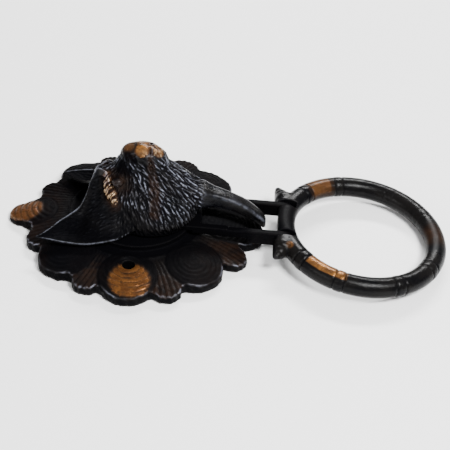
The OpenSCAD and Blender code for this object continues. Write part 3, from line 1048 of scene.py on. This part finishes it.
def dark_patina(n, speck, hidden):
    """Colour of the metal where the patina is whole, with its painted sheen and painted shade."""
    blotch = n.remap(n.noise(14, 5), 0.38, 0.62)
    colour = n.mix(blotch, BLUE_BLACK, WARM_BLACK)
    brown = n.math("MULTIPLY", n.mask("brown"), n.remap(n.noise(4, 5), 0.3, 0.65, 0.15, 0.9))
    colour = n.mix(brown, colour, RED_BROWN)
    crest = n.math("MULTIPLY", n.remap(n.mask("high"), 0.15, 0.9), n.remap(speck, 0.35, 0.65, 0.1, 0.5))
    colour = n.mix(crest, colour, CREST_GREY)
    # painted highlight: pale blue on the crests where the sheen mask is
    pale = n.math("MULTIPLY", n.mask("sheen"), n.remap(n.noise(2.6, 4), 0.35, 0.62, 0.2, 1.0))
    pale = n.math("MULTIPLY", pale, n.remap(n.mask("high"), 0.12, 0.8, 0.03, 1.0))
    colour = n.mix(pale, colour, SHEEN_BLUE)
    blush = n.remap(n.noise(5, 4), 0.3, 0.7, 0.4, 0.95)
    bronze = n.math("MULTIPLY", n.remap(n.mask("worn"), 0.05, 0.8), blush)
    colour = n.mix(bronze, colour, BRONZE)
    return n.mix(hidden, colour, SHADE_AND_PIT_BLACK)


def rubbed(n, speck):
    """How far the patina is rubbed through: most on crests, least in pits."""
    rub = n.math("ADD", n.mask("worn"), n.remap(n.noise(2.2, 5, 0.6), 0.3, 0.7, -0.28, 0.28))
    rub = n.math("ADD", rub, n.remap(speck, 0.3, 0.7, -0.2, 0.15))
    rub = n.math("ADD", rub, n.math("MULTIPLY", n.mask("high"), 0.25))
    rub = n.math("SUBTRACT", rub, n.math("MULTIPLY", n.mask("pit"), 0.6))
    return n.math("MULTIPLY", n.remap(rub, 0.4, 1.0), n.remap(n.mask("worn"), 0.02, 0.2))


def patina(name):
    """Near-black patina with a painted blue-grey sheen and painted shade, rubbed through to gold where
    it is worn.
    """
    n = Nodes(name)
    speck = n.noise(1.1, 6, 0.65)
    # pits keep their black patina; painted shade and the dull places turn the same black, rougher and
    # less shiny
    hidden = n.math("MAXIMUM", n.mask("pit"), n.math("MULTIPLY", n.mask("grime"), 0.9))
    rub = rubbed(n, speck)
    gold = n.mix(n.remap(n.noise(3.5, 4), 0.32, 0.66), GOLD, DULL_GOLD)
    gold = n.mix(n.mask("brown"), gold, BROWN_GOLD)
    # the painted sheen also makes the gold paler
    gold = n.mix(n.mask("sheen"), gold, PALE_GOLD)
    n.link(n.mix(rub, dark_patina(n, speck, hidden), gold), n.shader.inputs["Base Color"])
    n.link(n.math("MULTIPLY", rub, 0.5), n.shader.inputs["Metallic"])
    rough = n.math("ADD", n.remap(speck, 0.3, 0.7, 0.15, 0.28), n.math("MULTIPLY", hidden, 0.4))
    n.link(rough, n.shader.inputs["Roughness"])
    n.link(n.remap(hidden, 0, 1, 0.068, 0.008), n.shader.inputs["Specular IOR Level"])
    coarse, fine = n.remap(speck, 0.35, 0.65), n.noise(0.45, 3)
    n.bump(n.math("ADD", n.math("MULTIPLY", coarse, 0.5), n.math("MULTIPLY", fine, 0.5)), 0.16, 0.38)
    return n.material


def plain_metal(name, light, dark, roughness):
    """Bare or plated metal with a little dirt and fine scratches."""
    n = Nodes(name)
    dirt = n.remap(n.noise(2.0, 6), 0.35, 0.65)
    n.link(n.mix(dirt, light, dark), n.shader.inputs["Base Color"])
    n.shader.inputs["Metallic"].default_value = 1.0
    rough = n.remap(n.noise(0.8, 5), 0.3, 0.7, roughness - 0.08, roughness + 0.12)
    n.link(rough, n.shader.inputs["Roughness"])
    n.bump(n.noise(0.5, 4), 0.06, 0.4)
    return n.material


def dress(obj, material):
    obj.data.materials.clear()
    obj.data.materials.append(material)


# ----------------------------------------------------------------- scene
# Places and lengths are in metres from here on.

FLOOR_WIDTH = 3.0
FLOOR_GAP = 0.0002
LIT_SPOT = (0.02, 0, 0.01)
# Softboxes: name, place, width, height and watts.
SOFTBOXES = [
    ("key", (0.35, -0.35, 0.7), 0.25, 0.25, 16.5),
    ("fill", (-0.5, -0.6, 0.4), 0.4, 0.3, 2.6),
    ("back", (0.1, 0.7, 0.6), 0.5, 0.1, 14),
]
WORLD_LIGHT = 0.42
CAMERA_ELEVATION = math.radians(39.71)
CAMERA_AZIMUTH = math.radians(-0.14)
CAMERA_ROLL = math.radians(5.07)
CAMERA_DISTANCE = 0.56075
CAMERA_TARGET = Vector((0.04023, 0.00739, 0))
CAMERA_LENS_MM = 96.6
SENSOR_MM = 36


def matte(name, colour):
    material = bpy.data.materials.new(name)
    material.use_nodes = True
    shader = material.node_tree.nodes["Principled BSDF"]
    shader.inputs["Base Color"].default_value = (*colour, 1)
    shader.inputs["Roughness"].default_value = 0.9
    return material


def make_floor():
    mesh = bpy.data.meshes.new("floor")
    half = FLOOR_WIDTH / 2
    low = cad_box[0][2] - FLOOR_GAP
    corners = [(-half, -half, low), (half, -half, low), (half, half, low), (-half, half, low)]
    mesh.from_pydata(corners, [], [(0, 1, 2, 3)])
    floor = bpy.data.objects.new("floor", mesh)
    bpy.context.scene.collection.objects.link(floor)
    dress(floor, matte("floor_paint", (0.95, 0.95, 0.95)))


def softbox(name, place, width, height, watts):
    light = bpy.data.lights.new(name, "AREA")
    light.shape = "RECTANGLE"
    light.size = width
    light.size_y = height
    light.energy = watts
    lamp = bpy.data.objects.new(name, light)
    lamp.location = place
    lamp.rotation_euler = (Vector(LIT_SPOT) - Vector(place)).to_track_quat("-Z", "Y").to_euler()
    bpy.context.scene.collection.objects.link(lamp)


def make_lights():
    world = bpy.data.worlds.new("studio")
    world.use_nodes = True
    background = world.node_tree.nodes["Background"]
    background.inputs["Color"].default_value = (1, 1, 1, 1)
    background.inputs["Strength"].default_value = WORLD_LIGHT
    bpy.context.scene.world = world
    for box in SOFTBOXES:
        softbox(*box)


def make_camera():
    """The view from in front and 40 degrees up, with the object tilted 5 degrees clockwise in it."""
    level = math.cos(CAMERA_ELEVATION)
    back = Vector((math.sin(CAMERA_AZIMUTH) * level, -math.cos(CAMERA_AZIMUTH) * level,
                   math.sin(CAMERA_ELEVATION)))
    right = Vector((math.cos(CAMERA_AZIMUTH), math.sin(CAMERA_AZIMUTH), 0))
    above = back.cross(right)
    x_axis = math.cos(CAMERA_ROLL) * right + math.sin(CAMERA_ROLL) * above
    y_axis = -math.sin(CAMERA_ROLL) * right + math.cos(CAMERA_ROLL) * above
    lens = bpy.data.cameras.new("camera")
    lens.lens = CAMERA_LENS_MM
    lens.sensor_width = SENSOR_MM
    lens.clip_start = 0.01
    camera = bpy.data.objects.new("camera", lens)
    turn = Matrix((x_axis, y_axis, back)).transposed().to_4x4()
    camera.matrix_world = Matrix.Translation(CAMERA_TARGET + CAMERA_DISTANCE * back) @ turn
    bpy.context.scene.collection.objects.link(camera)
    bpy.context.scene.camera = camera


make_camera()
make_lights()
make_floor()

cast = patina("patina")
for piece in (make_head(), make_plate(), make_fork(), make_ring()):
    dress(piece, cast)
pin_brass = plain_metal("pin_brass", (0.42, 0.28, 0.12), (0.12, 0.08, 0.05), 0.35)
dress(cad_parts["hinge_pin"], pin_brass)
steel = plain_metal("zinc_steel", (0.55, 0.56, 0.58), (0.36, 0.36, 0.37), 0.32)
for name in ("throat_screw_left", "throat_screw_right", "brow_screw",
             "throat_washer_left", "throat_washer_right", "brow_washer"):
    dress(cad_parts[name], steel)
